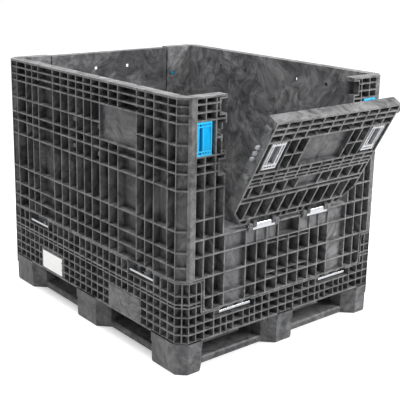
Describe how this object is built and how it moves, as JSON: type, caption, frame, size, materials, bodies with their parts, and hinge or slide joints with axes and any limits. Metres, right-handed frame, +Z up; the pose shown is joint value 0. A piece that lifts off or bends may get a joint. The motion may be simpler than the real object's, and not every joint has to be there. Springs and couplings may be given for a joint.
{
  "type": "collapsible bulk container",
  "caption": "Ribbed plastic bulk container on a pallet base: fixed side walls, inward-folding end walls, a drop door in each end wall, and sliding latches.",
  "frame": {"origin": "on the floor, at the middle of the underside of the centre foot", "axes": "+Z up; +Y from the front end wall, whose door stands open, to the rear end wall; +X to the right, seen from the front"},
  "size_m": [1.016, 1.4658, 0.991],
  "materials": {
    "charcoal_plastic": "structural-foam moulding, dark grey, faint swirl marks, edges worn lighter",
    "blue_plastic": "bright blue moulded latch",
    "grey_plastic": "light grey moulded latch",
    "steel": "bright round steel rod",
    "placard": "plain white card"
  },
  "bodies": {
    "container_base": {"pallet_base": "charcoal_plastic", "side_wall_left": "charcoal_plastic", "side_wall_right": "charcoal_plastic", "placard": "placard", "side_rod_left_left": "steel", "side_rod_left_right": "steel", "side_rod_right_left": "steel", "side_rod_right_right": "steel", "front_wall_rod_left": "steel", "front_wall_rod_right": "steel", "rear_wall_rod_left": "steel", "rear_wall_rod_right": "steel"},
    "front_wall": {"front_wall": "charcoal_plastic", "front_door_rod_left": "steel", "front_door_rod_right": "steel"},
    "front_door": {"front_door": "charcoal_plastic"},
    "rear_wall": {"rear_wall": "charcoal_plastic", "rear_door_rod_left": "steel", "rear_door_rod_right": "steel"},
    "rear_door": {"rear_door": "charcoal_plastic"},
    "front_wall_latch_left": {"front_wall_latch_left": "blue_plastic"},
    "front_door_latch_left": {"front_door_latch_left": "grey_plastic"},
    "front_wall_latch_right": {"front_wall_latch_right": "blue_plastic"},
    "front_door_latch_right": {"front_door_latch_right": "grey_plastic"},
    "rear_wall_latch_left": {"rear_wall_latch_left": "blue_plastic"},
    "rear_door_latch_left": {"rear_door_latch_left": "grey_plastic"},
    "rear_wall_latch_right": {"rear_wall_latch_right": "blue_plastic"},
    "rear_door_latch_right": {"rear_door_latch_right": "grey_plastic"}
  },
  "joints": [
    {"name": "front_wall_fold", "type": "hinge", "parent": "container_base", "child": "front_wall", "pos_m": [0, -0.5775, 0.206], "axis": [-1, 0, 0], "range_deg": [0, 90]},
    {"name": "front_door_drop", "type": "hinge", "parent": "front_wall", "child": "front_door", "pos_m": [0, -0.6105, 0.505], "axis": [1, 0, 0], "range_deg": [-29, 151]},
    {"name": "rear_wall_fold", "type": "hinge", "parent": "container_base", "child": "rear_wall", "pos_m": [0, 0.5775, 0.254], "axis": [1, 0, 0], "range_deg": [0, 90]},
    {"name": "rear_door_drop", "type": "hinge", "parent": "rear_wall", "child": "rear_door", "pos_m": [0, 0.6105, 0.505], "axis": [-1, 0, 0], "range_deg": [0, 180]},
    {"name": "front_wall_latch_left_slide", "type": "slide", "parent": "front_wall", "child": "front_wall_latch_left", "axis": [1, 0, 0], "range_m": [0, 0.014], "stiffness_N_per_m": 400, "springref_m": -0.004},
    {"name": "front_door_latch_left_slide", "type": "slide", "parent": "front_door", "child": "front_door_latch_left", "axis": [1, 0, 0], "range_m": [0, 0.014], "stiffness_N_per_m": 400, "springref_m": -0.004},
    {"name": "front_wall_latch_right_slide", "type": "slide", "parent": "front_wall", "child": "front_wall_latch_right", "axis": [-1, 0, 0], "range_m": [0, 0.014], "stiffness_N_per_m": 400, "springref_m": -0.004},
    {"name": "front_door_latch_right_slide", "type": "slide", "parent": "front_door", "child": "front_door_latch_right", "axis": [-1, 0, 0], "range_m": [0, 0.014], "stiffness_N_per_m": 400, "springref_m": -0.004},
    {"name": "rear_wall_latch_left_slide", "type": "slide", "parent": "rear_wall", "child": "rear_wall_latch_left", "axis": [-1, 0, 0], "range_m": [0, 0.014], "stiffness_N_per_m": 400, "springref_m": -0.004},
    {"name": "rear_door_latch_left_slide", "type": "slide", "parent": "rear_door", "child": "rear_door_latch_left", "axis": [-1, 0, 0], "range_m": [0, 0.014], "stiffness_N_per_m": 400, "springref_m": -0.004},
    {"name": "rear_wall_latch_right_slide", "type": "slide", "parent": "rear_wall", "child": "rear_wall_latch_right", "axis": [1, 0, 0], "range_m": [0, 0.014], "stiffness_N_per_m": 400, "springref_m": -0.004},
    {"name": "rear_door_latch_right_slide", "type": "slide", "parent": "rear_door", "child": "rear_door_latch_right", "axis": [1, 0, 0], "range_m": [0, 0.014], "stiffness_N_per_m": 400, "springref_m": -0.004}
  ]
}
